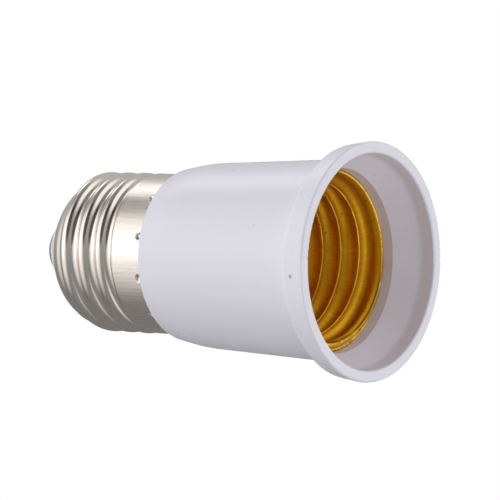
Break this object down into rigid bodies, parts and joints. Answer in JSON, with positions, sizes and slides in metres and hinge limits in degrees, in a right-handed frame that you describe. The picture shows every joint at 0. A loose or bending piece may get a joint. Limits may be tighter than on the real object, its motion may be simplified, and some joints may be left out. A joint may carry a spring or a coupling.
{
  "type": "lamp socket adapter",
  "caption": "White lamp socket extender with a flanged mouth, a gold-coloured threaded socket shell inside and a nickel-plated screw cap on the other end.",
  "frame": {"origin": "centre of the flat rim face round the mouth, which the adapter stands on", "axes": "+Z along the adapter's axis from the mouth towards the screw cap's tip"},
  "size_m": [0.0374, 0.0374, 0.0648],
  "materials": {
    "white_plastic": "satin moulded white plastic",
    "nickel_plate": "bright nickel plate with fine drawing marks",
    "gold_plate": "bright gold-coloured plate",
    "tongue_brass": "rolled brass strip",
    "rivet_metal": "headed brass",
    "tag_tinplate": "tinned brass",
    "copper_core": "bare copper",
    "brown_sleeve": "soft extruded plastic",
    "blue_sleeve": "soft extruded plastic",
    "tip_plastic": "satin moulded white plastic",
    "solder": "dull tin"
  },
  "bodies": {
    "root": {"body_moulding": "white_plastic", "screw_cap": "nickel_plate", "socket_shell": "gold_plate", "contact_tongue": "tongue_brass", "tongue_rivet": "rivet_metal", "shell_rivets": "rivet_metal", "live_tag": "tag_tinplate", "neutral_tag": "tag_tinplate", "live_core": "copper_core", "live_sleeve": "brown_sleeve", "neutral_core": "copper_core", "neutral_sleeve": "blue_sleeve", "tip_insulator": "tip_plastic", "centre_contact": "nickel_plate", "live_tag_solder": "solder", "neutral_tag_solder": "solder", "tip_solder": "solder", "cap_solder": "solder"}
  },
  "joints": []
}
